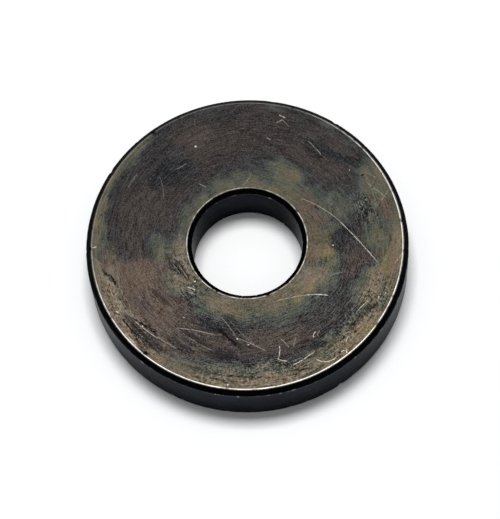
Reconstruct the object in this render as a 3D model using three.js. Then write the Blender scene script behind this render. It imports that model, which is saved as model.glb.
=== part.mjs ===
// A heavy flat washer: one plain ring of hardened steel, turned on a lathe, bored
// through the middle, and chamfered where the upper face meets the rim and the bore.
// Below, the same two corners are only lightly broken.
//
// Units are millimetres and +Z is up, along the bore's axis. The origin is the centre
// of the face that the washer lies on, so that face is at Z = 0.

import * as THREE from "three";

// Driving dimensions.
const OUTER_DIAMETER = 38;
const BORE_DIAMETER = 13; // the usual washer bore for a 12 mm bolt
const THICKNESS = 6.2;
const OUTER_CHAMFER = 0.65; // upper corner, across and down alike, so it is at 45 degrees
const BORE_CHAMFER = 0.55; // upper corner, at 45 degrees too
const LOWER_CHAMFER = 0.2; // both lower corners

// How many flats stand in for the round of the ring.
const FLATS_AROUND = 180;

const blackenedSteel = new THREE.MeshStandardMaterial({
  name: "blackened_steel",
  color: 0x4a4640,
  roughness: 0.4,
  metalness: 0.85,
});

// The ring's cross-section, as radius from the bore's axis and height above the lower
// face. It runs round from the foot of the bore and closes on itself.
function ringSection() {
  const rim = OUTER_DIAMETER / 2;
  const bore = BORE_DIAMETER / 2;
  const corners = [
    [bore, LOWER_CHAMFER],
    [bore + LOWER_CHAMFER, 0],
    [rim - LOWER_CHAMFER, 0],
    [rim, LOWER_CHAMFER],
    [rim, THICKNESS - OUTER_CHAMFER],
    [rim - OUTER_CHAMFER, THICKNESS],
    [bore + BORE_CHAMFER, THICKNESS],
    [bore, THICKNESS - BORE_CHAMFER],
  ];
  const closed = [...corners, corners[0]];
  return closed.map(([radius, height]) => new THREE.Vector2(radius, height));
}

function makeWasher() {
  const ring = new THREE.LatheGeometry(ringSection(), FLATS_AROUND);
  const washer = new THREE.Mesh(ring, blackenedSteel);
  washer.name = "washer";
  washer.rotation.x = Math.PI / 2; // the lathe turns about Y, and the bore runs along Z
  return washer;
}

const part = new THREE.Group();
part.add(makeWasher());

export default part;
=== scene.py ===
import math
import random

import bmesh
import bpy
from mathutils import Matrix, Vector, kdtree, noise


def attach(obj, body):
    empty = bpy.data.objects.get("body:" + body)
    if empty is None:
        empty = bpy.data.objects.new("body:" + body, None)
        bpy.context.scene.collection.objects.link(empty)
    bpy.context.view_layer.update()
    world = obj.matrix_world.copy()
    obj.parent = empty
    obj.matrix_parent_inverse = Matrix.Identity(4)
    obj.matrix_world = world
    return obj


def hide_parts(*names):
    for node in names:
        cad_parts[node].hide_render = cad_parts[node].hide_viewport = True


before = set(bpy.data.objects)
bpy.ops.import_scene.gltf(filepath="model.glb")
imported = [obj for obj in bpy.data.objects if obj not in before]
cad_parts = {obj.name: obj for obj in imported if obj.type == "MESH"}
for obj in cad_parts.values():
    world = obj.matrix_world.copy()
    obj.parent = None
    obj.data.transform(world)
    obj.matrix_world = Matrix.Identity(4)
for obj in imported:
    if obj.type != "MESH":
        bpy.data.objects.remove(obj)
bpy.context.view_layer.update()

MM = 0.001


# ---------------------------------------------------------------- the ring's sizes

class Ring:
    """The washer's own sizes in millimetres, read from its CAD solid."""

    def __init__(self, node):
        points = [(v.co.xy.length / MM, v.co.z / MM) for v in node.data.vertices]
        self.thickness = max(height for _, height in points)
        self.middle = self.thickness / 2
        self.rim = max(radius for radius, _ in points)
        self.bore = min(radius for radius, _ in points)
        upper_face = [radius for radius, height in points if height > self.thickness - 0.001]
        lower_face = [radius for radius, height in points if height < 0.001]
        self.face_outer = max(upper_face)
        self.face_inner = min(upper_face)
        self.outer_chamfer = self.rim - self.face_outer
        self.bore_chamfer = self.face_inner - self.bore
        self.lower_chamfer = self.rim - max(lower_face)


ring = Ring(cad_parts["washer"])


# ---------------------------------------------------------------- the ring's shape

EDGE_ROUND = 0.06  # how far the rounding of each worn corner reaches
EDGE_STEPS = 3
GUARD = 0.03  # the width of a narrow strip beside each corner, which keeps the flats flat
SHORTEST_CUT = 5 * GUARD  # anything shorter is part of a rounded corner, and is left whole
FACE_STRIPS = 32
WALL_STRIPS = 10
CHAMFER_STRIPS = 3
SECTORS = 8
STEPS_PER_SECTOR = 90

# The corners waver in and out by this much, with long and short waves.
WAVER_DEPTH = 0.012
WAVER_REACH = 0.2
LONG_WAVE = 0.9
SHORT_WAVE = 0.3

# How many nicks there are of each kind, with their least and greatest size and depth.
SMALL_NICKS = (150, (0.12, 0.24), (0.015, 0.05))
LARGE_NICKS = (26, (0.25, 0.45), (0.04, 0.09))
NICK_SEED = 11

# Both faces swell and dip by this much.
SWELL_DEPTH = 0.003
SWELL_SIZE = 3.5
DIP_DEPTH = 0.012
DIP_SIZE = 0.9
DIP_START = 0.35  # only the strongest part of the noise makes a dip

# Nicks that stand out on the upper face's outer edge: bearing in degrees
# anticlockwise from +X, size and depth in millimetres.
CLEAR_NICKS = [
    (177.5, 0.26, 0.06),
    (123.5, 0.38, 0.10),
    (206.0, 0.22, 0.07),
    (41.5, 0.24, 0.05),
    (37.0, 0.18, 0.05),
    (258.5, 0.30, 0.08),
    (333.5, 0.26, 0.07),
]


def add_section(bm):
    """The ring's cross-section on one side of its axis: a closed loop of eight rounded corners."""
    corners = [
        (ring.bore, ring.lower_chamfer),
        (ring.bore + ring.lower_chamfer, 0),
        (ring.rim - ring.lower_chamfer, 0),
        (ring.rim, ring.lower_chamfer),
        (ring.rim, ring.thickness - ring.outer_chamfer),
        (ring.face_outer, ring.thickness),
        (ring.face_inner, ring.thickness),
        (ring.bore, ring.thickness - ring.bore_chamfer),
    ]
    verts = [bm.verts.new((radius * MM, 0, height * MM)) for radius, height in corners]
    for here, following in zip(verts, verts[1:] + verts[:1]):
        bm.edges.new((here, following))
    bmesh.ops.bevel(
        bm,
        geom=verts,
        offset=EDGE_ROUND * MM,
        offset_type="OFFSET",
        segments=EDGE_STEPS,
        profile=0.5,
        affect="VERTICES",
        material=-1,
    )


def strips_for(length):
    """How many strips a flat of the section is cut into: a face, a wall or a chamfer."""
    if length > ring.thickness * 1.2:
        return FACE_STRIPS
    if length > ring.thickness / 2:
        return WALL_STRIPS
    return CHAMFER_STRIPS


def cut_flats(bm):
    """Cuts each flat of the section into strips, with a narrow one at both ends."""
    flats = [edge for edge in bm.edges if edge.calc_length() > SHORTEST_CUT * MM]
    for flat in flats:
        length = flat.calc_length() / MM
        first, last = flat.verts
        strips = strips_for(length)
        _, near = bmesh.utils.edge_split(flat, first, GUARD / length)
        rest = next(edge for edge in near.link_edges if last in edge.verts)
        bmesh.utils.edge_split(rest, last, GUARD / (length - GUARD))
        inner = max(near.link_edges, key=lambda edge: edge.calc_length())
        bmesh.ops.subdivide_edges(bm, edges=[inner], cuts=strips - 1)


def spin_section(bm):
    """Turns the section into one sector of the ring, and the sector into the whole ring."""
    sector_angle = math.tau / SECTORS
    bmesh.ops.spin(
        bm,
        geom=bm.verts[:] + bm.edges[:],
        cent=(0, 0, 0),
        axis=(0, 0, 1),
        angle=sector_angle,
        steps=STEPS_PER_SECTOR,
        use_merge=False,
    )
    sector = bm.verts[:] + bm.edges[:] + bm.faces[:]
    for turn in range(1, SECTORS):
        copy = bmesh.ops.duplicate(bm, geom=sector)["geom"]
        copied = [item for item in copy if isinstance(item, bmesh.types.BMVert)]
        bmesh.ops.rotate(
            bm,
            cent=(0, 0, 0),
            matrix=Matrix.Rotation(turn * sector_angle, 3, "Z"),
            verts=copied,
        )
    bmesh.ops.remove_doubles(bm, verts=bm.verts, dist=0.001 * MM)
    bmesh.ops.recalc_face_normals(bm, faces=bm.faces)


def edge_corners(upper):
    """The four corners above or below: radius, height, and the way into the steel there."""
    outer = ring.outer_chamfer if upper else ring.lower_chamfer
    inner = ring.bore_chamfer if upper else ring.lower_chamfer
    face = ring.thickness if upper else 0
    down = -1 if upper else 1
    return {
        "face_outer": (ring.rim - outer, face, Vector((-1, down)).normalized()),
        "face_inner": (ring.bore + inner, face, Vector((1, down)).normalized()),
        "rim": (ring.rim, face + down * outer, Vector((-1, 0.4 * down)).normalized()),
        "bore": (ring.bore, face + down * inner, Vector((1, 0.4 * down)).normalized()),
    }


def press_nick(tree, bm, bearing, corner, size, depth):
    """Presses one smooth-bottomed nick into a corner of the ring."""
    radius, height, inward = corner
    outwards = Vector((math.cos(bearing), math.sin(bearing), 0))
    centre = outwards * radius * MM + Vector((0, 0, height * MM))
    push = outwards * inward.x + Vector((0, 0, inward.y))
    for _, index, gap in tree.find_range(centre, size * MM):
        share = 1 - (gap / (size * MM)) ** 2
        bm.verts[index].co += push * depth * MM * share * share


def knock_edges(bm):
    """Wears every corner: a slight waver along it, many small nicks and a few clear ones."""
    bm.verts.ensure_lookup_table()
    corners = {True: edge_corners(True), False: edge_corners(False)}
    places = [corner[:2] for side in corners.values() for corner in side.values()]
    for vert in bm.verts:
        radius = vert.co.xy.length / MM
        height = vert.co.z / MM
        near = min(math.hypot(radius - r, height - h) for r, h in places)
        if near < WAVER_REACH:
            long_wave = noise.noise(vert.co / (LONG_WAVE * MM))
            short_wave = noise.noise(vert.co / (SHORT_WAVE * MM))
            waver = long_wave + 0.6 * short_wave
            inward = -1 if radius > (ring.rim + ring.bore) / 2 else 1
            outwards = vert.co.xy.normalized()
            slip = WAVER_DEPTH * MM * waver * (1 - near / WAVER_REACH) * inward
            vert.co.x += outwards.x * slip
            vert.co.y += outwards.y * slip
    tree = kdtree.KDTree(len(bm.verts))
    for index, vert in enumerate(bm.verts):
        tree.insert(vert.co, index)
    tree.balance()
    rng = random.Random(NICK_SEED)
    names = ["face_outer", "face_outer", "rim", "rim", "face_inner", "bore"]
    for count, sizes, depths in [SMALL_NICKS, LARGE_NICKS]:
        for _ in range(count):
            corner = corners[rng.random() < 0.5][rng.choice(names)]
            bearing = rng.uniform(0, math.tau)
            size = rng.uniform(*sizes)
            depth = rng.uniform(*depths)
            press_nick(tree, bm, bearing, corner, size, depth)
    for degrees, size, depth in CLEAR_NICKS:
        bearing = math.radians(degrees)
        press_nick(tree, bm, bearing, corners[True]["face_outer"], size, depth)


def settle_faces(bm):
    """Gives both faces the slight unevenness of a ground and much-used surface."""
    apart = Vector((0, 0, 7))  # sets the two faces' patterns apart
    for vert in bm.verts:
        height = vert.co.z / MM
        if min(height, ring.thickness - height) > 0.02:
            continue
        side = 1 if height > ring.middle else -1
        swell = noise.noise(vert.co / (SWELL_SIZE * MM) + apart * side) + 1
        dip = noise.noise(vert.co / (DIP_SIZE * MM) + Vector((5, 0, 0)))
        dip = max(0.0, dip - DIP_START)
        vert.co.z -= side * MM * (SWELL_DEPTH * swell + DIP_DEPTH * dip)


BAKE_MAP = "OFBake"
TOP_SHARE = 0.0156  # how much of the map's width a millimetre of the upper island takes
LOW_SHARE = 0.0094
MAP_EDGE = 0.005
BORE_SHARE = 0.9  # the bore's wall is drawn a little short, to leave a hole in the island


def lay_out_map(bm):
    """Unwraps the ring into two round islands.

    One is the upper face, with the rim's wall around it and the bore's wall inside it. The
    other is the lower face.
    """
    layer = bm.loops.layers.uv.new(BAKE_MAP)
    top_reach = (ring.rim + ring.thickness) * TOP_SHARE
    low_reach = ring.rim * LOW_SHARE
    top_centre = MAP_EDGE + top_reach
    low_centre = 1 - MAP_EDGE - low_reach
    for face in bm.faces:
        middle = face.calc_center_median() / MM
        is_low = face.normal.z < -0.5
        for loop in face.loops:
            spot = loop.vert.co / MM
            radius = spot.xy.length
            along = spot.xy.normalized()
            if is_low:
                reach = radius * LOW_SHARE
                loop[layer].uv = (low_centre + along.x * reach, low_centre + along.y * reach)
                continue
            drop = ring.thickness - spot.z
            if middle.xy.length > (ring.rim + ring.bore) / 2:
                reach = (radius + drop) * TOP_SHARE
            else:
                reach = (radius - drop * BORE_SHARE) * TOP_SHARE
            loop[layer].uv = (top_centre + along.x * reach, top_centre + along.y * reach)


def make_ring():
    bm = bmesh.new()
    add_section(bm)
    cut_flats(bm)
    spin_section(bm)
    knock_edges(bm)
    settle_faces(bm)
    bm.normal_update()
    lay_out_map(bm)
    for face in bm.faces:
        face.smooth = True
    mesh = bpy.data.meshes.new("washer_ring")
    bm.to_mesh(mesh)
    bm.free()
    piece = bpy.data.objects.new("washer_ring", mesh)
    bpy.context.scene.collection.objects.link(piece)
    return piece


# ---------------------------------------------------------------- building a finish

STUDIO_GAIN = 2.2  # how much brighter than its own colour the steel looks under the softbox


def seen(red, green, blue):
    """The steel's own colour, from how it looks under the softbox on a scale of 0 to 255."""
    def linear(level):
        share = level / 255
        return share / 12.92 if share <= 0.04045 else ((share + 0.055) / 1.055) ** 2.4
    return tuple(linear(level) / STUDIO_GAIN for level in (red, green, blue)) + (1.0,)


class Signal:
    """A number, colour or place in a finish. Arithmetic on a number adds Math nodes."""

    def __init__(self, finish, socket):
        self.finish = finish
        self.socket = socket

    def __add__(self, other):
        return self.finish.maths("ADD", self, other)

    def __sub__(self, other):
        return self.finish.maths("SUBTRACT", self, other)

    def __rsub__(self, other):
        return self.finish.maths("SUBTRACT", other, self)

    def __mul__(self, other):
        return self.finish.maths("MULTIPLY", self, other)

    __radd__ = __add__
    __rmul__ = __mul__


class Finish:
    """A material being built up from nodes."""

    def __init__(self, name):
        self.material = bpy.data.materials.new(name)
        self.material.use_nodes = True
        self.tree = self.material.node_tree
        self.tree.nodes.clear()

    def node(self, kind, settings=None, inputs=None, output=0):
        """Adds a node: its settings first, then its inputs. Gives back one of its outputs."""
        made = self.tree.nodes.new(kind)
        for key, value in (settings or {}).items():
            setattr(made, key, value)
        for key, value in (inputs or {}).items():
            if isinstance(value, Signal):
                self.tree.links.new(value.socket, made.inputs[key])
            else:
                made.inputs[key].default_value = value
        return Signal(self, made.outputs[output])

    def maths(self, operation, *values):
        return self.node("ShaderNodeMath", {"operation": operation}, dict(enumerate(values)))

    def vector(self, operation, *values, output="Vector"):
        settings = {"operation": operation}
        return self.node("ShaderNodeVectorMath", settings, dict(enumerate(values)), output)

    def measure(self, operation, *values):
        """Vector maths that gives a number: a length, a distance or a dot product."""
        return self.vector(operation, *values, output="Value")

    def place(self, x, y, z):
        return self.node("ShaderNodeCombineXYZ", None, {"X": x, "Y": y, "Z": z})

    def apart(self, place):
        """The three numbers of a place or a colour."""
        split = self.node("ShaderNodeSeparateXYZ", None, {"Vector": place})
        return [Signal(self, socket) for socket in split.socket.node.outputs]

    def ramp(self, value, start, end, low=0.0, high=1.0):
        """Eases from low at start to high at end, and stays there. End may be below start.

        A smooth step stays inside its range by itself, so it needs no clamp.
        """
        settings = {"interpolation_type": "SMOOTHSTEP", "clamp": False}
        inputs = {"Value": value, "From Min": start, "From Max": end, "To Min": low, "To Max": high}
        return self.node("ShaderNodeMapRange", settings, inputs)

    def mottle(self, place, grain, detail=3.0, rough=0.55, stray=0.0):
        """Cloudy variation from 0 to 1. Grain is the size of its clouds in millimetres."""
        inputs = {"Vector": place, "Scale": 1 / grain, "Detail": detail}
        inputs.update({"Roughness": rough, "Distortion": stray})
        return self.node("ShaderNodeTexNoise", None, inputs)

    def most(self, signals):
        """The highest of several masks at each spot.

        Each mask is joined to the others as soon as it is made. A shader can only hold so many
        unfinished numbers at once, and there are more scratches than that.
        """
        found = None
        for signal in signals:
            found = signal if found is None else self.maths("MAXIMUM", found, signal)
        return found

    def cover(self, shader):
        """Puts the finished shader on the surface."""
        out = self.tree.nodes.new("ShaderNodeOutputMaterial")
        self.tree.links.new(shader.socket, out.inputs["Surface"])
        return self.material

    def blend(self, mask, under, over):
        """One colour over another, as far as the mask goes. 0, 6, 7 and 2 are its colour sockets."""
        settings = {"data_type": "RGBA", "blend_type": "MIX"}
        return self.node("ShaderNodeMix", settings, {0: mask, 6: under, 7: over}, output=2)

    def stops(self, value, colours):
        """A colour from a list of (place, colour) along value."""
        made = self.node("ShaderNodeValToRGB", None, {"Fac": value})
        band = made.socket.node.color_ramp
        band.elements[0].position, band.elements[0].color = colours[0]
        band.elements[1].position, band.elements[1].color = colours[-1]
        for place, colour in colours[1:-1]:
            band.elements.new(place).color = colour
        return made


# ---------------------------------------------------------------- marks on the upper face

# A scratch runs from its first point to its second, in millimetres from the bore's axis,
# bowed to one side, with its half width and how clearly it shows.
PALE_SCRATCHES = [
    ((6.6, 5.2), (11.4, 1.4), 0.35, 0.06, 0.60),  # the long bowed one, in two lengths
    ((10.9, 2.0), (15.2, -4.1), 0.10, 0.07, 0.95),
    ((2.8, -7.7), (6.8, -7.2), 0.10, 0.06, 0.65),
    ((6.3, -7.2), (9.0, -7.5), 0.08, 0.09, 1.00),
    ((-9.1, -10.0), (-4.3, -11.4), 0.15, 0.07, 0.55),
    ((-3.8, -9.0), (-2.1, -11.8), 0.10, 0.06, 0.40),
    ((-2.4, -11.7), (1.4, -13.9), 0.10, 0.06, 0.55),
    ((2.8, -13.2), (2.5, -14.9), 0.08, 0.09, 0.90),
    ((2.4, -14.8), (3.6, -15.2), -0.10, 0.08, 0.80),
    ((-14.9, -10.2), (-13.6, -12.1), 0.05, 0.08, 0.70),
    ((-15.9, -7.3), (-15.5, -7.6), 0.00, 0.12, 0.90),
    ((-9.0, -10.0), (-4.6, -13.4), -0.20, 0.06, 0.40),
    ((-2.9, -9.4), (0.6, -13.6), -0.15, 0.05, 0.35),
    ((2.9, -12.3), (3.9, -13.6), 0.05, 0.09, 0.45),
    ((-8.3, -2.1), (-7.2, -4.0), 0.05, 0.05, 0.55),
    ((-8.9, -1.9), (-7.8, -3.9), 0.05, 0.05, 0.45),
    ((12.2, 0.4), (13.4, -1.2), 0.03, 0.05, 0.35),
    ((16.0, 7.0), (14.6, 7.9), 0.05, 0.05, 0.40),
    ((4.0, -15.8), (6.9, -14.2), -0.10, 0.08, 0.85),
    ((6.7, -15.1), (9.4, -15.0), -0.60, 0.09, 0.95),
    ((10.4, -14.1), (10.4, -14.9), 0.05, 0.10, 0.95),
    ((9.8, -14.7), (10.2, -14.4), 0.02, 0.09, 0.90),
    ((10.5, -13.5), (10.8, -12.8), 0.05, 0.08, 0.80),
    ((10.2, -12.6), (11.1, -12.2), 0.08, 0.07, 0.70),
    ((6.7, -12.6), (7.1, -11.8), 0.03, 0.09, 0.75),
    ((7.2, -12.4), (7.6, -11.7), 0.03, 0.07, 0.55),
    ((4.4, -13.5), (4.8, -12.3), 0.04, 0.06, 0.50),
    ((12.0, -9.9), (13.5, -8.5), 0.05, 0.08, 0.65),
    ((-14.2, -8.2), (-11.1, -11.2), -0.10, 0.07, 0.75),
    ((-11.4, -10.9), (-9.1, -12.6), 0.05, 0.06, 0.50),
    ((-7.4, -5.0), (-6.4, -5.5), 0.02, 0.12, 0.95),
    ((-7.3, -5.6), (-6.5, -6.1), 0.02, 0.07, 0.60),
    ((-7.9, -1.4), (-6.9, -2.9), 0.05, 0.06, 0.50),
    ((0.0, 7.3), (1.2, 8.9), -0.10, 0.05, 0.45),
    ((5.0, 16.3), (5.8, 15.8), 0.03, 0.11, 0.75),
    ((4.6, 15.2), (5.5, 15.6), 0.05, 0.09, 0.55),
    ((5.3, 15.7), (6.1, 14.6), 0.05, 0.06, 0.45),
    ((3.3, 13.4), (3.8, 13.1), 0.00, 0.10, 0.40),
    ((8.2, 12.6), (9.1, 11.3), 0.05, 0.06, 0.50),
    ((9.1, 11.4), (9.6, 10.6), 0.05, 0.07, 0.55),
    ((14.7, 6.5), (15.4, 5.6), 0.05, 0.06, 0.50),
    ((15.3, 5.8), (16.9, 4.2), 0.08, 0.06, 0.50),
    ((17.2, 5.4), (16.1, 3.9), 0.05, 0.06, 0.45),
    ((18.0, -2.9), (16.9, -4.2), 0.05, 0.07, 0.50),
    ((9.2, -5.1), (10.9, -4.7), 0.05, 0.07, 0.35),
    ((-7.9, 10.2), (-6.4, 10.9), -0.10, 0.09, 0.35),
    ((-9.8, 9.6), (-9.5, 6.4), 0.20, 0.05, 0.30),
    ((-13.6, 8.2), (-12.3, 10.1), 0.05, 0.12, 0.25),
    ((-5.2, 8.1), (-4.3, 7.5), 0.05, 0.06, 0.55),
    ((-18.2, 0.9), (-17.6, 1.0), 0.00, 0.10, 0.95),
    ((-18.1, -0.4), (-17.1, -1.4), 0.00, 0.05, 0.45),
]

DARK_SCRATCHES = [
    ((-14.3, -8.2), (-11.2, -10.5), 0.05, 0.11, 0.90),
    ((-15.2, -8.2), (-13.2, -11.8), 0.10, 0.10, 0.80),
    ((-14.8, -8.9), (-12.4, -12.2), 0.10, 0.09, 0.80),
    ((-14.1, -9.0), (-11.8, -12.3), 0.10, 0.09, 0.70),
    ((-12.8, -9.2), (-11.2, -10.8), 0.05, 0.09, 0.75),
    ((-8.7, -10.4), (-6.0, -12.5), 0.05, 0.10, 0.60),
    ((-11.7, -5.6), (-10.8, -7.0), 0.05, 0.08, 0.55),
    ((-9.6, -7.0), (-8.7, -8.2), 0.05, 0.07, 0.50),
    ((-4.2, -10.6), (-2.1, -12.9), 0.10, 0.17, 0.75),
    ((2.3, -15.3), (4.6, -15.9), -0.10, 0.10, 0.60),
    ((11.3, -11.6), (12.7, -9.8), 0.05, 0.11, 0.65),
    ((7.8, -7.5), (9.0, -7.75), 0.02, 0.07, 0.60),
    ((8.3, 4.0), (8.8, 3.4), 0.00, 0.15, 0.90),
    ((-16.9, -2.4), (-16.1, -2.9), 0.05, 0.14, 0.90),
    ((-16.3, -2.7), (-15.7, -4.2), 0.10, 0.15, 0.85),
    ((-8.2, -1.6), (-7.4, -3.2), 0.05, 0.09, 0.80),
    ((-8.7, -1.9), (-7.9, -3.4), 0.05, 0.08, 0.75),
    ((-9.2, -2.2), (-8.6, -3.4), 0.05, 0.08, 0.60),
    ((-5.6, -16.4), (-3.4, -17.2), -0.05, 0.09, 0.60),
    ((-2.0, -16.6), (1.2, -17.0), 0.05, 0.08, 0.50),
    ((3.6, -16.4), (6.4, -16.2), -0.10, 0.10, 0.60),
    ((13.2, -10.2), (14.6, -8.8), 0.05, 0.12, 0.60),
]

# Small dark pits and small bright sparks: place and radius.
PITS = [
    (13.8, 3.2, 0.20),
    (14.3, 2.5, 0.17),
    (15.6, 2.3, 0.15),
    (15.3, 5.8, 0.14),
    (15.6, 6.2, 0.11),
    (16.6, 7.6, 0.15),
    (14.3, 7.5, 0.13),
    (-12.7, -12.8, 0.24),
    (11.7, -12.3, 0.22),
    (-16.9, 5.0, 0.10),
    (-10.2, 15.4, 0.20),
    (-2.2, -14.6, 0.14),
]

SPARKS = [
    (-5.2, 13.0, 0.15),
    (12.8, 8.3, 0.10),
    (11.8, -12.35, 0.13),
    (14.75, -8.2, 0.12),
    (15.6, -7.75, 0.09),
    (10.0, -1.2, 0.12),
    (-6.4, -4.4, 0.13),
    (-2.0, -12.0, 0.11),
    (-0.8, -12.8, 0.11),
    (-3.5, -17.5, 0.16),
    (-12.85, -9.5, 0.11),
    (-8.0, -8.8, 0.09),
    (13.7, 12.1, 0.14),
    (14.65, 11.05, 0.12),
]

# Soft patches: centre, half length and half width in millimetres, turn in degrees.
NAVY_PATCHES = [
    ((9.9, 11.2), 2.6, 1.0, -35),
    ((12.9, 9.6), 1.3, 0.7, -30),
    ((11.2, -0.4), 1.6, 1.2, 20),
    ((-3.4, -13.9), 1.7, 0.5, -12),
    ((-1.0, -14.8), 0.9, 0.45, -20),
    ((-12.9, -10.9), 2.0, 0.75, -55),
    ((7.2, -13.5), 1.2, 0.45, 15),
    ((-8.5, 9.5), 2.8, 1.5, 30),
    ((-8.6, -11.9), 1.7, 0.8, -30),
    ((-4.2, -10.1), 2.6, 0.7, -25),
    ((-12.6, -6.6), 1.4, 0.6, -60),
]

BROWN_PATCHES = [
    ((-12.5, -3.6), 4.6, 3.0, -10),
    ((-9.5, -7.5), 4.5, 2.6, -35),
    ((-5.0, -12.5), 4.0, 2.2, -15),
    ((2.0, -12.3), 4.0, 1.8, 10),
    ((8.3, -1.8), 1.6, 2.6, 0),
    ((7.9, 2.2), 1.3, 2.4, 20),
    ((13.0, -3.5), 2.4, 2.0, 0),
    ((-5.0, 14.2), 2.6, 0.9, 10),
    ((16.8, 4.8), 1.2, 2.6, 15),
    ((7.6, 3.0), 1.2, 2.8, 25),
]

OLIVE_PATCHES = [
    ((14.8, 6.2), 2.3, 3.0, 20),
    ((12.4, 4.6), 2.6, 2.2, 0),
    ((11.8, -12.6), 3.2, 1.7, 45),
    ((3.0, -17.0), 6.0, 1.6, 5),
    ((-5.5, -16.3), 5.0, 1.6, -20),
    ((-13.0, -12.5), 3.0, 1.0, -45),
    ((-15.4, -5.8), 3.0, 0.9, -65),
    ((-17.3, 4.0), 4.5, 1.0, 85),
    ((-13.6, 11.8), 4.5, 0.9, 48),
    ((-9.4, -4.8), 1.7, 1.8, 0),
    ((-10.8, 0.2), 1.2, 2.2, 0),
    ((5.2, 9.0), 2.2, 1.2, -35),
    ((-5.4, -9.4), 2.2, 1.1, -30),
    ((7.6, -13.4), 2.2, 0.9, 30),
    ((13.5, -6.6), 1.3, 2.6, -25),
]

TAN_PATCHES = [
    ((-16.8, -4.6), 3.4, 0.9, -70),
    ((-14.9, -9.9), 2.6, 1.0, -50),
    ((-15.7, 9.4), 0.9, 0.4, 55),
    ((-16.5, 7.3), 1.2, 0.4, 62),
    ((16.5, -3.9), 1.6, 1.0, 75),
    ((17.5, -1.5), 2.2, 0.7, 85),
    ((8.4, -1.9), 1.4, 0.9, 0),
    ((12.5, -13.0), 1.8, 0.8, 45),
    ((1.0, -17.5), 3.0, 0.7, 3),
    ((-8.6, -2.6), 1.5, 3.6, 15),
    ((-3.5, -8.0), 3.0, 0.8, -25),
    ((7.6, -5.4), 2.2, 0.9, 40),
    ((14.8, -6.0), 0.9, 2.2, -15),
    ((-14.9, -1.5), 1.4, 1.8, 0),
    ((15.0, 0.3), 1.2, 2.2, 0),
    ((-1.5, -15.2), 3.2, 0.9, 0),
]

RED_PATCHES = [
    ((7.9, 2.6), 1.3, 2.8, 18),
    ((7.8, -1.0), 0.9, 2.0, 0),
    ((16.9, -3.4), 0.6, 1.8, 0),
    ((16.9, 3.0), 0.6, 1.4, 10),
]

GOLD_PATCHES = [
    ((15.7, -3.4), 0.7, 1.8, 0),
    ((9.6, -1.6), 0.7, 1.7, 0),
    ((12.6, -12.2), 1.4, 0.7, 45),
    ((6.0, -7.0), 1.6, 0.6, 30),
]

# Where the film has been rubbed thin and pale.
WORN_PATCHES = [
    ((-16.4, -1.8), 1.3, 2.6, 0),
    ((-15.4, -7.2), 3.6, 1.3, -62),
    ((-12.9, -12.0), 2.0, 0.7, -46),
    ((-7.6, -0.5), 0.7, 2.2, 0),
    ((6.0, -5.0), 1.6, 0.6, 45),
]

# Ragged dark smears, where something hard has rubbed.
DARK_SMEARS = [
    ((-12.3, -11.0), 2.3, 0.62, -52),
    ((-13.7, -9.4), 1.9, 0.34, -54),
    ((-13.0, -12.4), 1.0, 0.35, -48),
    ((-4.3, -13.7), 1.6, 0.55, -6),
    ((-2.7, -11.8), 1.8, 0.34, -48),
    ((-16.3, -3.1), 1.2, 0.16, -52),
    ((-7.9, -2.8), 1.5, 0.30, -62),
    ((-8.8, -2.2), 1.2, 0.22, -58),
    ((-10.6, -6.0), 1.3, 0.26, -50),
    ((-6.6, -11.6), 2.2, 0.26, -38),
    ((12.0, -10.9), 1.5, 0.26, 46),
    ((7.3, -13.6), 1.1, 0.34, 18),
    ((13.6, -9.4), 1.0, 0.28, 10),
    ((6.2, -17.0), 1.4, 0.26, 25),
    ((-6.0, -15.6), 1.8, 0.24, -22),
]

# Where the film is pitted and flecked.
FLECKED_PATCHES = [
    ((11.3, -12.4), 4.2, 2.0, 45),
    ((14.6, -8.0), 1.6, 2.6, -20),
    ((14.4, 3.4), 1.6, 2.0, 0),
    ((-13.2, -10.7), 3.4, 1.8, -52),
    ((-7.6, -3.6), 1.6, 3.4, 20),
    ((0.0, -16.6), 8.0, 1.5, 0),
    ((-15.6, -6.5), 3.4, 1.3, -65),
]


LEAST_BOW = 0.01  # a perfectly straight scratch would need an endless circle


def scratch(finish, spot, start, end, bow, half_width, strength):
    """The mask of one scratch: part of a large circle, fading at both ends."""
    first, last = Vector(start), Vector(end)
    chord = last - first
    half = chord.length / 2
    middle = (first + last) / 2
    sagitta = bow if abs(bow) > LEAST_BOW else LEAST_BOW
    radius = (half * half + sagitta * sagitta) / (2 * abs(sagitta))
    sideways = Vector((-chord.y, chord.x)).normalized() * math.copysign(1, sagitta)
    centre = middle + sideways * (abs(sagitta) - radius)
    from_centre = finish.measure("DISTANCE", spot, (centre.x, centre.y, 0))
    off_line = finish.maths("ABSOLUTE", from_centre - radius)
    from_middle = finish.measure("DISTANCE", spot, (middle.x, middle.y, 0))
    line = finish.ramp(off_line, half_width, half_width * 0.25, 0.0, strength)
    return line * finish.ramp(from_middle, half * 1.03, half * 0.75)


def dot(finish, spot, x, y, radius):
    """The mask of a pit or a spark."""
    gap = finish.measure("DISTANCE", spot, (x, y, 0))
    return finish.ramp(gap, radius, radius * 0.4)


PATCH_FADE = 2.2  # a patch has faded out at this many squared half lengths from its middle


def patch(finish, spot, centre, length, width, turn):
    """A soft oval patch, strongest in its middle."""
    angle = math.radians(turn)
    along = Vector((math.cos(angle), math.sin(angle), 0)) / length
    across = Vector((-math.sin(angle), math.cos(angle), 0)) / width
    middle = Vector((centre[0], centre[1], 0))
    u = finish.measure("DOT_PRODUCT", spot, along) - middle.dot(along)
    v = finish.measure("DOT_PRODUCT", spot, across) - middle.dot(across)
    return finish.ramp(u * u + v * v, PATCH_FADE, 0.0)


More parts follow.
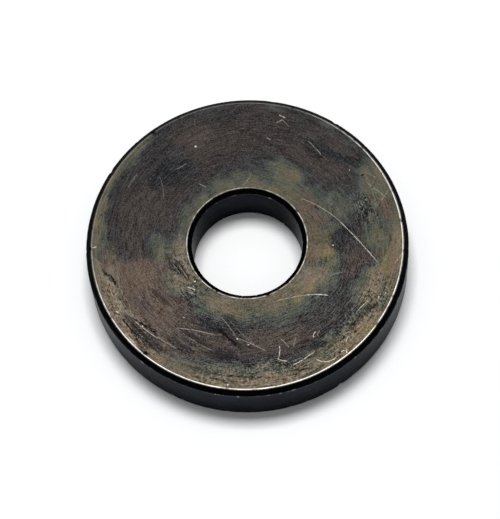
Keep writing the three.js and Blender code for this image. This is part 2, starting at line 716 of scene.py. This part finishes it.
def stray_scratches(finish, spot, cell, half_length, half_width, share, shift):
    """Short scratches in every direction, at most one to each cell of a random pattern."""
    moved = finish.vector("ADD", spot, (shift, shift * 0.7, 0))
    settings = {"voronoi_dimensions": "2D", "feature": "F1"}
    inputs = {"Vector": moved, "Scale": 1 / cell}
    centre = finish.node("ShaderNodeTexVoronoi", settings, inputs, output="Position")
    chance = Signal(finish, centre.socket.node.outputs["Color"])
    turn, pick, bend = finish.apart(chance)
    away = finish.vector("SUBTRACT", moved, centre)
    settings = {"rotation_type": "Z_AXIS"}
    inputs = {"Vector": away, "Angle": turn * math.tau}
    turned = finish.node("ShaderNodeVectorRotate", settings, inputs)
    along, across, _ = finish.apart(turned)
    bent = across + along * along * (bend - 0.5) * 0.25
    line = finish.ramp(finish.maths("ABSOLUTE", bent), half_width, half_width * 0.3)
    reach = finish.ramp(finish.maths("ABSOLUTE", along), half_length, half_length * 0.5)
    return line * reach * finish.ramp(pick, 1 - share, 1 - share * 0.6)


# ---------------------------------------------------------------- the blackened steel

# The oxide film's colours, from thinnest to thickest.
FILM_COLOURS = [
    (0.00, seen(58, 55, 55)),
    (0.20, seen(57, 57, 59)),
    (0.36, seen(65, 69, 69)),
    (0.50, seen(82, 86, 79)),
    (0.66, seen(98, 97, 82)),
    (0.82, seen(111, 104, 88)),
    (1.00, seen(130, 117, 99)),
]
CHARCOAL = seen(56, 54, 55)
WARM_CHARCOAL = seen(72, 66, 63)
RUSTY_BROWN = seen(84, 75, 69)
RED_BROWN = seen(112, 88, 72)
OLD_GOLD = seen(134, 120, 80)
RUBBED_GREY = seen(140, 128, 112)
NAVY_BLACK = seen(41, 43, 47)
LOWER_LEFT_TAN = seen(150, 130, 112)
FACE_DARKEST = (0.004, 0.004, 0.004)

SMEAR_GREY = seen(38, 39, 40)
FLECK_CREAM = seen(170, 162, 140)
HOLE_BLACK = seen(36, 36, 35)
SCORE_BLACK = seen(30, 29, 28)
FINE_SCRATCH_GREY = seen(150, 143, 128)
SCRATCH_WHITE = seen(205, 196, 178)

WALL_DARK = seen(40, 43, 48)
WALL_LIGHT = seen(96, 102, 112)
PAINTED_SHADE_BLACK = seen(12, 13, 14)
BARE_STEEL = seen(255, 250, 238)

# How far the bare steel reaches from each worn corner, in millimetres.
OUTER_WEAR = 0.15
INNER_WEAR = 0.12
RIM_WEAR = 0.12
BORE_WEAR = 0.10


class BlackenedSteel(Finish):
    """The steel's finish while it is built, with the places and noises that its parts share.

    Places are in millimetres. Each noise runs from 0 to 1, and is about 0.5 on average.
    """

    def __init__(self):
        super().__init__("blackened_steel")
        self.find_places()
        self.warp_places()
        self.lay_patches()
        self.make_noises()

    def find_places(self):
        where = self.node("ShaderNodeTexCoord", output="Object")
        scaled = {0: where, "Scale": 1 / MM}
        self.spot = self.node("ShaderNodeVectorMath", {"operation": "SCALE"}, scaled)
        self.x, self.y, self.z = self.apart(self.spot)
        self.upper = self.ramp(self.z, ring.middle - 0.01, ring.middle + 0.01)
        self.flat = self.place(self.x, self.y, 0.0)
        self.radius = self.measure("LENGTH", self.flat)
        self.from_middle = self.maths("ABSOLUTE", self.z - ring.middle)
        # the two faces get different clouds, because the pattern's third axis sets them apart
        self.cloud_spot = self.place(self.x, self.y, self.upper * 40.0)
        self.bearing = self.vector("NORMALIZE", self.flat)

    def warp_places(self):
        """Places pushed about by noise, so that a patch drawn at one has no even outline."""
        self.drift_x = self.mottle(self.cloud_spot, 2.6, 4.0, 0.62) - 0.5
        shifted = self.vector("ADD", self.cloud_spot, (31.0, -17.0, 5.0))
        drift_y = self.mottle(shifted, 2.6, 4.0, 0.62) - 0.5
        self.fine_drift = self.mottle(shifted, 0.45, 3.0, 0.65) - 0.5
        warped_x = self.x + self.drift_x * 2.6 + self.fine_drift * 0.7
        warped_y = self.y + drift_y * 2.6 - self.fine_drift * 0.6
        self.warped = self.place(warped_x, warped_y, 0.0)

    def patches(self, spots):
        return self.most(patch(self, self.warped, *one) for one in spots) * self.upper

    def lay_patches(self):
        self.navy = self.patches(NAVY_PATCHES)
        self.brown = self.patches(BROWN_PATCHES)
        self.olive = self.patches(OLIVE_PATCHES)
        self.tan = self.patches(TAN_PATCHES)
        self.flecked = self.patches(FLECKED_PATCHES)
        self.red = self.patches(RED_PATCHES)
        self.gold = self.patches(GOLD_PATCHES)
        self.rubbed = self.patches(WORN_PATCHES)

    def swept(self, turns, radial, detail, shift):
        """Noise drawn out around the ring, as rubbing and turning leave it."""
        around = self.vector("MULTIPLY", self.bearing, (turns, turns, 0.0))
        depth = self.place(self.upper * 31.0, shift, self.radius * radial)
        return self.mottle(self.vector("ADD", around, depth), 1.0, detail, 0.62, 0.4)

    def make_noises(self):
        self.broad = self.mottle(self.cloud_spot, 6.0, 3.0, 0.5)
        self.middling = self.mottle(self.cloud_spot, 1.5, 5.0, 0.65, 0.5)
        self.speckle = self.mottle(self.cloud_spot, 0.26, 2.0, 0.7)
        self.sweep = self.swept(7.0, 1.3, 5.0, 0.0)
        self.streak = self.swept(5.5, 4.2, 4.0, 9.0)
        self.hairline = self.swept(9.0, 13.0, 3.0, 17.0)
        self.grit = self.mottle(self.cloud_spot, 0.12, 2.0, 0.6)
        hue_spot = self.vector("ADD", self.cloud_spot, (-13.0, 8.0, 3.0))
        self.hue = self.mottle(hue_spot, 1.1, 4.0, 0.6, 0.4)
        self.warmth = self.mottle(hue_spot, 4.5, 3.0, 0.55)

    def film_depth(self):
        """The oxide film: strongest around the bore, thinner outwards, and again at the rim."""
        halo_gap = self.measure("DISTANCE", self.warped, (1.2, -0.5, 0))
        halo = self.ramp(halo_gap + (self.sweep - 0.5) * 3.0, 13.4, 6.0)
        rim = self.ramp(self.radius + self.drift_x * 3.0 - self.y * 0.06, 14.6, 19.2)
        return (
            0.06
            + halo * 0.74
            + rim * 0.46
            + self.ramp(self.x - self.y * 0.3, 8.0, 19.0) * 0.30
            + self.olive * 0.34
            + self.tan * 0.28
            - self.brown * 0.14
            - self.navy * 0.18
            + (self.broad - 0.5) * 0.30
            + (self.middling - 0.5) * 0.60
            + (self.sweep - 0.5) * 0.60
            + self.fine_drift * self.flecked * 1.5
        )

    def film_colour(self):
        film = self.film_depth()
        film_colour = self.stops(film, FILM_COLOURS)
        charcoal = self.blend(self.ramp(self.broad, 0.3, 0.7), CHARCOAL, WARM_CHARCOAL)
        rust = self.brown * 0.75 + (self.hue - 0.5) * 1.0 + (self.sweep - 0.5) * 0.6
        ground = self.blend(self.ramp(rust, 0.10, 0.95), charcoal, RUSTY_BROWN)
        colour = self.blend(self.ramp(film, 0.08, 0.52), ground, film_colour)
        broken = self.ramp(self.middling + (self.sweep - 0.5) * 0.8, 0.30, 0.62, 0.25, 1.0)
        colour = self.blend(self.red * broken * 0.62, colour, RED_BROWN)
        colour = self.blend(self.gold * broken * 0.62, colour, OLD_GOLD)
        colour = self.blend(self.rubbed * broken * 0.48, colour, RUBBED_GREY)
        smoky = self.ramp(self.navy * 0.9 + (self.streak - 0.5) * 0.8, 0.22, 0.85)
        colour = self.blend(smoky * 0.8, colour, NAVY_BLACK)
        # the lower left is paler and browner, below one straight line
        below = self.ramp(self.y + self.fine_drift * 0.5, -0.6, -1.8)
        lower_left_pale = below * self.ramp(self.x + self.drift_x * 3.0, -6.0, -11.5)
        return self.blend(lower_left_pale * self.upper * 0.26, colour, LOWER_LEFT_TAN)

    def clouded(self, colour):
        """Clouds, streaks and fine grain in the film, a little warmer here and cooler there."""
        cloud = (
            0.99
            + (self.middling - 0.5) * 0.60
            + (self.streak - 0.5) * 1.30
            + (self.sweep - 0.5) * 0.50
            + self.fine_drift * self.flecked * 1.3
        )
        warm = (self.hue - 0.5) * 0.08 + (self.warmth - 0.5) * 0.16
        tint = self.place(cloud * (1 + warm), cloud, cloud * (1 - warm * 0.9))
        colour = self.vector("MULTIPLY", colour, tint)
        # the near side is busier than the far side
        busy = self.ramp(self.y, 7.0, -7.0, 0.65, 1.15)
        glint = (
            (self.speckle - 0.5) * (0.050 + self.flecked * 0.12)
            + (self.grit - 0.5) * 0.13
            + (self.hairline - 0.5) * (0.13 + self.flecked * 0.14)
        ) * busy
        colour = self.vector("ADD", colour, self.place(glint, glint, glint))
        return self.vector("MAXIMUM", colour, FACE_DARKEST)

    def make_scratches(self):
        jitter = self.mottle(self.flat, 0.35, 2.0) - 0.5
        shaky = self.place(self.x + jitter * 0.22, self.y - jitter * 0.16, 0.0)
        ragged_x = self.x + jitter * 0.7 + self.fine_drift * 0.6
        ragged_y = self.y + jitter * 0.5 - self.fine_drift * 0.6
        self.ragged = self.place(ragged_x, ragged_y, 0.0)
        upper = self.upper
        self.pale = self.most(scratch(self, shaky, *one) for one in PALE_SCRATCHES) * upper
        self.dark = self.most(scratch(self, self.ragged, *one) for one in DARK_SCRATCHES) * upper
        self.pits = self.most(dot(self, self.ragged, *one) for one in PITS) * upper
        sparks = self.most(dot(self, shaky, *one) for one in SPARKS) * upper
        fine = stray_scratches(self, self.cloud_spot, 1.7, 0.8, 0.03, 0.4, 3.0)
        finer = stray_scratches(self, self.cloud_spot, 0.8, 0.38, 0.03, 0.45, 11.0)
        bold = stray_scratches(self, self.cloud_spot, 4.2, 2.0, 0.035, 0.4, 23.0)
        break_up = self.ramp(self.mottle(self.flat, 0.25, 2.0), 0.32, 0.55, 0.35, 1.0)
        self.bright_marks = self.most([self.pale * break_up, sparks])
        self.small_marks = self.most([fine * 0.22, finer * 0.16, bold * 0.26]) * break_up

    def make_smears(self):
        """Dark smears, broken into strokes by a noise drawn out along one slant."""
        smears = self.most(patch(self, self.ragged, *one) for one in DARK_SMEARS) * self.upper
        stroke = self.vector("MULTIPLY", self.ragged, (0.9, 0.9, 0.0))
        slant = self.place(0.0, 0.0, (self.x + self.y * 0.8) * 4.5)
        grain = self.mottle(self.vector("ADD", stroke, slant), 1.0, 3.0, 0.7)
        smears = smears * 1.1 + (grain - 0.5) * 2.6 + (self.speckle - 0.5) * 0.8
        self.smears = self.ramp(smears, 0.30, 0.75)

    def marked(self, colour):
        """Smears, flecks, holes and scratches over the film."""
        self.make_scratches()
        self.make_smears()
        colour = self.blend(self.smears * 0.66, colour, SMEAR_GREY)
        flecks = self.ramp(self.speckle + (self.hairline - 0.5) * 0.5, 0.60, 0.72)
        colour = self.blend(flecks * (self.flecked * 0.40 + 0.05), colour, FLECK_CREAM)
        holes = self.ramp(self.speckle - (self.grit - 0.5) * 0.5, 0.42, 0.32)
        colour = self.blend(holes * (self.flecked * 0.45 + 0.06), colour, HOLE_BLACK)
        scores = self.most([self.dark * 0.85, self.pits * 0.95])
        colour = self.blend(scores, colour, SCORE_BLACK)
        colour = self.blend(self.small_marks, colour, FINE_SCRATCH_GREY)
        return self.blend(self.bright_marks * 0.85, colour, SCRATCH_WHITE)

    def turned(self, colour):
        """The turned rim, bore and chamfers, with painted shade on the bore's wall and on the
        chamfers.
        """
        half = ring.middle
        self.on_face = self.ramp(self.from_middle, half - 0.07, half - 0.012)
        rings = (self.z + self.radius) * 9.0
        lathe_spot = self.place(self.x * 0.22, self.y * 0.22, rings)
        self.lathe = self.mottle(lathe_spot, 1.0, 3.0, 0.6)
        self.smudge = self.mottle(self.spot, 1.8, 3.0, 0.6)
        turned = self.blend(self.lathe * 0.5 + self.smudge * 0.5, WALL_DARK, WALL_LIGHT)
        # painted shade: the bore's wall is darkened because it mirrors the shaded floor in the hole,
        # and the chamfers are darkened towards black because they mirror the dim room
        inside = self.ramp(self.radius, ring.face_inner + 1, ring.face_outer - 1, 0.45, 0.0)
        chamfer_shade = self.ramp(self.from_middle, half - 0.75, half - 0.5)
        painted_shade = self.most([inside, chamfer_shade * 0.85])
        turned = self.blend(painted_shade, turned, PAINTED_SHADE_BLACK)
        return self.blend(self.on_face, turned, colour)

    def corner(self, corner_radius, corner_height, reach):
        """A narrow line along one corner. Its height is from the ring's middle, either way."""
        out = self.radius - corner_radius
        up = self.from_middle - corner_height
        gap = self.measure("LENGTH", self.place(out, up, 0.0))
        return self.ramp(gap, reach, reach * 0.5)

    def worn(self, colour):
        """Every corner is worn, the faces' own edges most. The outer face edge's bright line is also
        a painted highlight, made strongest on the near right side where the light catches the
        rounded edge.
        """
        half = ring.middle
        low = ring.lower_chamfer
        outer_cut = self.upper * (ring.outer_chamfer - low) + low
        inner_cut = self.upper * (ring.bore_chamfer - low) + low
        rub = self.mottle(self.spot, 0.9, 3.0, 0.7)
        # painted highlight: the outer edge's bright line is made stronger towards the near right,
        # where the light catches the rounded edge
        near_right_highlight = self.ramp(self.y * 0.9 - self.x * 0.5, 14.0, -2.0, 0.18, 1.0)
        outer_wear_and_highlight = self.corner(ring.rim - outer_cut, half, OUTER_WEAR)
        outer_wear_and_highlight = outer_wear_and_highlight * self.ramp(rub, 0.25, 0.5, 0.45, 1.0) * near_right_highlight
        inner_wear = self.corner(ring.bore + inner_cut, half, INNER_WEAR)
        inner_wear = inner_wear * self.ramp(rub, 0.35, 0.6, 0.2, 0.9)
        inner_wear = inner_wear * self.ramp(self.y, 5.0, -1.0, 0.55, 1.0)
        wall_wear = self.most([
            self.corner(ring.rim, half - outer_cut, RIM_WEAR),
            self.corner(ring.bore, half - inner_cut, BORE_WEAR),
        ])
        wall_wear = wall_wear * self.ramp(rub, 0.55, 0.72, 0.05, 0.8)
        self.wear_and_highlight = self.most([outer_wear_and_highlight, inner_wear, wall_wear])
        return self.blend(self.wear_and_highlight, colour, BARE_STEEL)

    def roughness(self):
        rough = 0.57 + (self.middling - 0.5) * 0.16 + (self.streak - 0.5) * 0.20
        cut = self.most([self.dark, self.pits])
        rough = rough - self.bright_marks * 0.1 + cut * 0.25
        wall_rough = 0.27 + (self.smudge - 0.5) * 0.12
        rough = rough * self.on_face + (1 - self.on_face) * wall_rough
        rough = self.maths("MAXIMUM", rough - self.wear_and_highlight * 0.08, 0.16)
        return self.maths("MINIMUM", rough, 0.8)

    def relief(self):
        """Height in millimetres, for the bump."""
        face_relief = (
            (self.speckle - 0.5) * 0.0022
            + (self.streak - 0.5) * 0.0060
            + (self.hairline - 0.5) * 0.0020
            + (self.middling - 0.5) * 0.004
            - self.pale * 0.010
            - self.dark * 0.016
            - self.smears * 0.006
            - self.pits * 0.045
            - self.small_marks * 0.005
        )
        turned_relief = (self.lathe - 0.5) * 0.006 + (self.smudge - 0.5) * 0.004
        return face_relief * self.on_face + turned_relief * (1 - self.on_face)


def blackened_steel():
    steel = BlackenedSteel()
    colour = steel.film_colour()
    colour = steel.clouded(colour)
    colour = steel.marked(colour)
    colour = steel.turned(colour)
    colour = steel.worn(colour)
    rough = steel.roughness()
    height = {"Strength": 1.0, "Distance": MM, "Height": steel.relief()}
    bump = steel.node("ShaderNodeBump", None, height)
    shader = steel.node(
        "ShaderNodeBsdfPrincipled",
        None,
        {
            "Base Color": colour,
            "Roughness": rough,
            "Metallic": 0.92,
            "Specular Tint": (0.4, 0.4, 0.4, 1),
            "Normal": bump,
        },
    )
    return steel.cover(shader)


# ---------------------------------------------------------------- floor, light and camera

FLOOR_HALF = 1.5
FLOOR_COLOUR = (0.93, 0.932, 0.936, 1)
PALE_WALL = (0.93, 0.94, 0.95, 1)
DIM_WALL = (0.05, 0.053, 0.06, 1)

CAMERA_LENS = 168.0
CAMERA_SENSOR = 36.0
CAMERA_DISTANCE = 14.93  # in rim radii, as are the two lengths that aim it
CAMERA_AIM = (0.010, -0.115)
CAMERA_ELEVATION = 67.1
CAMERA_ROLL = -4.6
NEAREST_SEEN = 0.01  # metres


def add_camera():
    data = bpy.data.cameras.new("camera")
    data.lens = CAMERA_LENS
    data.sensor_width = CAMERA_SENSOR
    data.clip_start = NEAREST_SEEN
    camera = bpy.data.objects.new("camera", data)
    bpy.context.scene.collection.objects.link(camera)
    radius = ring.rim * MM
    pitch = math.radians(90 - CAMERA_ELEVATION)
    look = Vector((0, math.sin(pitch), -math.cos(pitch)))
    aim = Vector((CAMERA_AIM[0] * radius, CAMERA_AIM[1] * radius, ring.thickness * MM))
    place = Matrix.Translation(aim - look * CAMERA_DISTANCE * radius)
    turn = Matrix.Rotation(pitch, 4, "X") @ Matrix.Rotation(math.radians(CAMERA_ROLL), 4, "Z")
    camera.matrix_world = place @ turn
    bpy.context.scene.camera = camera


def add_floor():
    bm = bmesh.new()
    bmesh.ops.create_grid(bm, x_segments=1, y_segments=1, size=FLOOR_HALF)
    mesh = bpy.data.meshes.new("floor")
    bm.to_mesh(mesh)
    bm.free()
    floor = bpy.data.objects.new("floor", mesh)
    bpy.context.scene.collection.objects.link(floor)
    finish = Finish("pale_floor")
    shader = finish.node(
        "ShaderNodeBsdfPrincipled",
        None,
        {"Base Color": FLOOR_COLOUR, "Roughness": 0.9, "Specular IOR Level": 0.1},
    )
    mesh.materials.append(finish.cover(shader))


def add_softbox(name, place, width, depth, brightness):
    """A lit panel facing straight down. Its place and size are in metres."""
    data = bpy.data.lights.new(name, "AREA")
    data.shape = "RECTANGLE"
    data.size = width
    data.size_y = depth
    data.energy = brightness * math.pi * width * depth
    light = bpy.data.objects.new(name, data)
    bpy.context.scene.collection.objects.link(light)
    light.location = place


def add_world():
    """Pale to look at, and dim as a surrounding, so that the black edges stay black."""
    world = bpy.data.worlds.new("studio")
    bpy.context.scene.world = world
    world.use_nodes = True
    tree = world.node_tree
    tree.nodes.clear()
    rays = tree.nodes.new("ShaderNodeLightPath")
    pale = tree.nodes.new("ShaderNodeBackground")
    pale.inputs["Color"].default_value = PALE_WALL
    dim = tree.nodes.new("ShaderNodeBackground")
    dim.inputs["Color"].default_value = DIM_WALL
    either = tree.nodes.new("ShaderNodeMixShader")
    out = tree.nodes.new("ShaderNodeOutputWorld")
    tree.links.new(rays.outputs["Is Camera Ray"], either.inputs[0])
    tree.links.new(dim.outputs[0], either.inputs[1])
    tree.links.new(pale.outputs[0], either.inputs[2])
    tree.links.new(either.outputs[0], out.inputs["Surface"])


add_camera()
add_floor()
add_softbox("key", (0.0, 0.24, 1.0), 0.42, 0.30, 24.0)
add_softbox("fill", (0.0, 0.0, 1.05), 3.0, 2.0, 0.38)
add_world()
bpy.context.scene.view_settings.view_transform = "Standard"

washer = make_ring()
washer.data.materials.append(blackened_steel())
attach(washer, "root")
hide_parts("washer")
